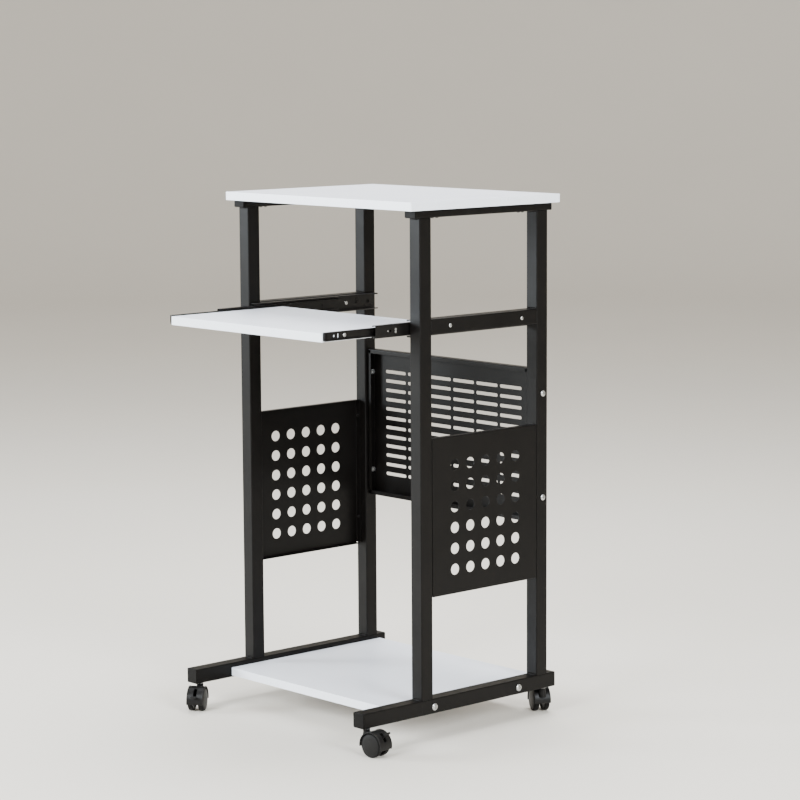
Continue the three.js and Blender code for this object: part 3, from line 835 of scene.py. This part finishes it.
def make_slides():
    for side, s in SIDES.items():
        outer, middle, inner = (span(f"slide_{name}_{side}") for name in ("outer", "middle", "inner"))
        z = (outer[0].z + outer[1].z) / 2

        bm, web = channel(f"slide_outer_{side}", s, 1, 2.8)
        y0, y1 = outer[0].y, outer[1].y
        marks = [(y0 + 20, "long"), (y0 + 44, "hole"), (y0 + 120, "tall"), (y0 + 226, "hole"),
                 (y0 + 287, "tall"), (y1 - 20, "big")]
        bm = web_holes(bm, web, z, marks)
        piece(f"slide_outer_{side}_profile", bm, "frame", "slide", [f"slide_outer_{side}"])
        for n, y in enumerate((y0 + 60, y0 + 260)):
            place = axes((0, 1, 0), (0, 0, 1), (-s, 0, 0), (web - s * SLIDE_T, y, z))
            piece(f"slide_outer_{side}_screw_{n + 1}", screw(place, 3.8, SLIDE_HEAD), "frame", "zinc")

        bm, web = channel(f"slide_middle_{side}", s, 1, 2.7)
        y0, y1 = middle[0].y, middle[1].y
        bm = web_holes(bm, web, z, [(y0 + 38, "hole"), (y0 + 150, "window"), (y1 - 40, "hole")])
        body = f"slide_middle_{side}"
        rivets = bmesh.new()
        for y, dz, r in ((y0 + 32, 0, 1.6), (y0 + 52, -2.4, 2.6), (y0 + 52, 2.4, 2.6), (y1 - 60, 0, 2.6)):
            place = axes((0, 1, 0), (0, 0, 1), (s, 0, 0), (web, y, z + dz))
            dome = [(0, -1), (r, -1), (r, 0.08), (0.6 * r, 0.14), (0, 0.14)]
            lathe(rivets, place, softened(dome, 0.04), 20)
        piece(f"slide_middle_{side}_rivets", rivets, body, "zinc")
        piece(f"slide_middle_{side}_profile", bm, body, "slide", [f"slide_middle_{side}"])
        lever_stop(side, s, body, middle, inner, z)

        bm, web = channel(f"slide_inner_{side}", s, -1, 0)
        y0, y1 = inner[0].y, inner[1].y
        marks = [(y0 + 27, "hole"), (y0 + 37, "tall"), (y0 + 200, "hole"), (y1 - 30, "tall")]
        bm = web_holes(bm, web, z, marks)
        piece(f"slide_inner_{side}_profile", bm, "tray", "slide", [f"slide_inner_{side}"])
        for n, y in enumerate((y0 + 53, y0 + 178, y1 - 55)):
            place = axes((0, 1, 0), (0, 0, 1), (s, 0, 0), (web + s * SLIDE_T, y, z))
            piece(f"slide_inner_{side}_screw_{n + 1}", screw(place, 4.0, 1.7), "tray", "zinc")
        bumper(side, inner, z)


def lever_stop(side, s, body, middle, inner, z):
    """Bowed plastic stop at the front of the middle channel."""
    bm = bmesh.new()
    x = inner[1].x - 2.6 if s > 0 else inner[0].x + 2.6
    bow = arc_points(0, -26, 29, 112, 70, 10)
    outline = strip(bow, 2.0, 6, 1)
    y = middle[0].y + 5
    prism(bm, axes((0, 1, 0), (0, 0, 1), (s, 0, 0), (x, y, z)), outline, -1.2, 1.2, edge=0.3, steps=2)
    piece(f"slide_stop_{side}", bm, body, "cap")


def bumper(side, inner, z):
    """Rounded bumper clipped into the front end of the inner channel."""
    bm = bmesh.new()
    low, high = inner
    mid = (low.x + high.x) / 2
    outline = rect(high.x - low.x - 2.0, high.z - low.z - 3.0, 1.2)
    prism(bm, along_y((mid, 0, z)), outline, low.y - 0.3, low.y + 7, edge=0.9, steps=4)
    piece(f"slide_bumper_{side}", bm, "tray", "cap")


# ------------------------------------------------------------------ small screws
def make_screws():
    for side, s in SIDES.items():
        rail_low, rail_high = span(f"middle_rail_{side}")
        face = rail_high.x if s > 0 else rail_low.x
        z = (rail_low.z + rail_high.z) / 2
        for n, y in enumerate(RAIL_SCREWS_Y):
            bm = screw(along_x((face, y, z), s), 3.7, 1.8)
            piece(f"rail_screw_{side}_{n + 1}", bm, "frame", "zinc")
        top_low, top_high = span(f"top_rail_{side}")
        x = (top_low.x + top_high.x) / 2
        for n, y in enumerate(BOARD_SCREWS_Y):
            place = axes((1, 0, 0), (0, -1, 0), (0, 0, -1), (x, y, top_low.z))
            piece(f"board_screw_{side}_{n + 1}", screw(place, 3.8, 2.4), "frame", "slide")


# ------------------------------------------------------------------ castors
def castor_place(name):
    """Frame of one castor: stem axis at zero, trail along X, floor at z 0; and the trail's length."""
    stem, axle = centre(f"castor_{name}_stem"), centre(f"castor_{name}_axle")
    trail = math.hypot(axle.x - stem.x, axle.y - stem.y)
    yaw = math.atan2(axle.y - stem.y, axle.x - stem.x)
    place = Matrix.Translation((stem.x, stem.y, 0)) @ Matrix.Rotation(yaw, 4, "Z")
    return place, trail, axle.z


def hood(place, trail, height, braked):
    """Cover over both wheels, web between them and neck round the stem."""
    at_axle = place @ Matrix.Translation((trail, 0, height))
    flat = at_axle @ along_y()
    outer = arc_points(0, 0, HOOD_R, HOOD_FROM, HOOD_TO, 36)
    inner = arc_points(0, 0, HOOD_IN, HOOD_TO, HOOD_FROM, 36)
    shell = bmesh.new()
    prism(shell, flat, rounded(outer + inner, 0.6, 1), -HOOD_HALF, HOOD_HALF, edge=0.95, steps=5)
    for t in (-1, 1):
        lip = arc_points(0, 0, HOOD_R + 0.5, HOOD_FROM, HOOD_TO, 36)
        lip += arc_points(0, 0, HOOD_R - 1, HOOD_TO, HOOD_FROM, 36)
        y0, y1 = sorted((t * HOOD_HALF, t * (HOOD_HALF - 1.8)))
        prism(shell, flat, rounded(lip, 0.3, 1), y0, y1, edge=0.7, steps=4)
    if braked:
        tool = bmesh.new()
        a = math.radians(SLOT_ANGLE)
        out = Vector((math.cos(a), 0, math.sin(a)))
        up = Vector((-math.sin(a), 0, math.cos(a)))
        prism(tool, at_axle @ axes(up, (0, 1, 0), out), rect(20, 7.2, 2.2), 18, 32, edge=0.02, steps=1)
        shell = carve(shell, tool)
    web = arc_points(0, 0, HOOD_IN + 1, WEB_FROM, WEB_TO, 30)
    if not braked:
        prism(shell, flat, rounded([(0, 0), *web], 0.5, 1), -HOOD_WEB, HOOD_WEB, edge=0.5, steps=3)
    else:
        # two cheeks, with the lever between them
        for y0, y1 in ((-HOOD_WEB, -3.6), (3.6, HOOD_WEB)):
            prism(shell, flat, rounded([(0, 0), *web], 0.5, 1), y0, y1, edge=0.4, steps=3)
        back = [(0, 0), *arc_points(0, 0, HOOD_IN + 1, 72, WEB_TO, 14)]
        prism(shell, flat, rounded(back, 0.5, 1), -3.7, 3.7, edge=0.3, steps=2)
        pin = [(0, -4.6), (1.6, -4.6), (1.6, 4.6), (0, 4.6)]
        lathe(shell, at_axle @ along_y((LEVER_PIVOT[0], 0, LEVER_PIVOT[1])), pin, 16)
    lathe(shell, flat, softened([(0, -HOOD_WEB - 0.3), (6.2, -HOOD_WEB - 0.3), (6.2, HOOD_WEB + 0.3),
                                 (0, HOOD_WEB + 0.3)], 0.4), 28)
    neck = [(0, 33), (7.8, 33), (7.0, 46), (6.8, NECK_TOP), (5.4, NECK_TOP), (5.4, 49), (0, 49)]
    lathe(shell, place, softened(neck, 0.6), 32)
    bridge = rounded([(0, -HOOD_WEB), (trail - 8, -HOOD_WEB), (trail - 8, HOOD_WEB), (0, HOOD_WEB)], 1.0, 3)
    prism(shell, place, bridge, 36, height + 23.4, edge=1.0, steps=3)
    return shell


def wheel(name, letter, place, trail, height, t):
    """Tyre ring and smooth domed disc of one wheel; t is the side of the castor it is on."""
    low, high = WHEEL_FACES
    out = place @ Matrix.Translation((trail, 0, height)) @ axes((1, 0, 0), (0, 0, 1), (0, t, 0))
    r = height
    tyre = bmesh.new()
    ring = [(r - 4.5, low + 0.4), (r - 1.0, low), (r, low + 1.2), (r, 14.2), (r - 0.9, 16.0), (r - 2.6, 16.5),
            (r - 4.5, 15.6)]
    lathe(tyre, out, softened(ring, [0.3, 0.8, 0.9, 1.2, 1.0, 0.5, 0.3], 4, closed=True), 72, closed=True)
    body = f"castor_{name}_wheel_{letter}"
    piece(body + "_tyre", tyre, body, "tyre", [body])
    disc_bm = bmesh.new()
    face = r - 2.9
    dome = [(face * math.cos(a), 16.1 + (high - 16.1) * math.sin(a)) for a in (0.25, 0.5, 0.8, 1.1, 1.35)]
    bore = AXLE_R + 0.05
    profile = [(0, 15), (bore, 15), (bore, low + 0.2), (6.5, low + 0.2), (7.5, low + 1.8),
               (face - 3, low + 2.4), (face - 0.6, low + 0.5), (face - 0.3, low + 0.8), (face - 0.3, 15.8),
               (face, 16.1), *dome, (0, high)]
    lathe(disc_bm, out, softened(profile, [0, 0.1, 0.2, 0.3, 0.6, 0.6, 0.3, 0.1, 0.1, 0.2] + [0] * 6), 72)
    gate = bmesh.new()
    prism(gate, out, disc(1.6, 0, 11.5, 20), 17.35, 20, edge=0.02, steps=1)
    piece(body + "_disc", carve(disc_bm, gate), body, "nylon")


def lever(name, place, trail, height):
    """Brake lever: round hub, thin arm and a ribbed pedal, at the angle of its CAD solid."""
    high = span(f"castor_{name}_brake")[1]
    pivot = place @ Matrix.Translation((trail + LEVER_PIVOT[0], 0, height + LEVER_PIVOT[1]))
    angle = math.asin(min(1, max(0.05, (high.z - pivot.translation.z - 2) / 33)))
    turned = pivot @ Matrix.Rotation(-angle, 4, "Y")
    bm = bmesh.new()
    lathe(bm, turned @ along_y(), softened([(0, -3.2), (4, -3.2), (4, 3.2), (0, 3.2)], 0.5), 28)
    arm = rounded([(0, -2.2), (14, -1.7), (28, -1.5), (28, 1.5), (14, 1.7), (0, 2.2)], 0.6, 2)
    prism(bm, turned @ along_y(), arm, -3.2, 3.2, edge=0.6, steps=3)
    pedal = rect(7.5, 13, 1.8, 29.2, 0)
    prism(bm, turned @ along_z(), pedal, -2.0, 1.6, edge=0.9, steps=4)
    for k in range(3):
        prism(bm, turned @ along_z(), rect(0.9, 9.5, 0.4, 27.4 + 1.8 * k, 0, 3), 1.3, 2.0, edge=0.25, steps=2)
    piece(f"castor_{name}_lever", bm, f"castor_{name}_brake", "nylon", [f"castor_{name}_brake"])


def make_castors():
    for end, side in CASTORS:
        name = f"{end}_{side}"
        place, trail, height = castor_place(name)
        swivel = f"castor_{name}_swivel"
        braked = end == "front"
        cover = hood(place, trail, height, braked)
        piece(f"castor_{name}_cover", cover, swivel, "nylon", [f"castor_{name}_hood"])

        stem = bmesh.new()
        low, high = span(f"castor_{name}_stem")
        collar = [(0, COLLAR_LOW), (COLLAR_R, COLLAR_LOW), (COLLAR_R, COLLAR_HIGH), (0, COLLAR_HIGH)]
        lathe(stem, place, softened(collar, 0.45), 36)
        thread(stem, place, STEM_R, low.z, COLLAR_LOW, 1.25)
        thread(stem, place, STEM_R, COLLAR_HIGH - 0.05, high.z, 1.25)
        piece(f"castor_{name}_pin", stem, "frame", "zinc", [f"castor_{name}_stem"])

        axle = bmesh.new()
        line = place @ Matrix.Translation((trail, 0, height)) @ along_y()
        rod = [(0, -AXLE_HALF), (AXLE_R, -AXLE_HALF), (AXLE_R, AXLE_HALF), (0, AXLE_HALF)]
        lathe(axle, line, softened(rod, 0.4), 24)
        piece(f"castor_{name}_spindle", axle, swivel, "zinc", [f"castor_{name}_axle"])

        for letter in "ab":
            wheel(name, letter, place, trail, height, wheel_side(name, letter, place))
        if braked:
            lever(name, place, trail, height)


def wheel_side(name, letter, place):
    """+1 or -1: the side of the castor's middle plane that this wheel is on."""
    return 1 if (place.inverted() @ centre(f"castor_{name}_wheel_{letter}")).y > 0 else -1


# ------------------------------------------------------------------ the scene
make_camera()
make_studio()
make_floor()
board("top_board", "frame")
board("bottom_shelf", "frame")
board("tray_board", "tray")
make_frame()
for side_name, side_sign in SIDES.items():
    side_panel(side_name, side_sign)
back_panel()
make_slides()
make_bolts()
make_screws()
make_castors()
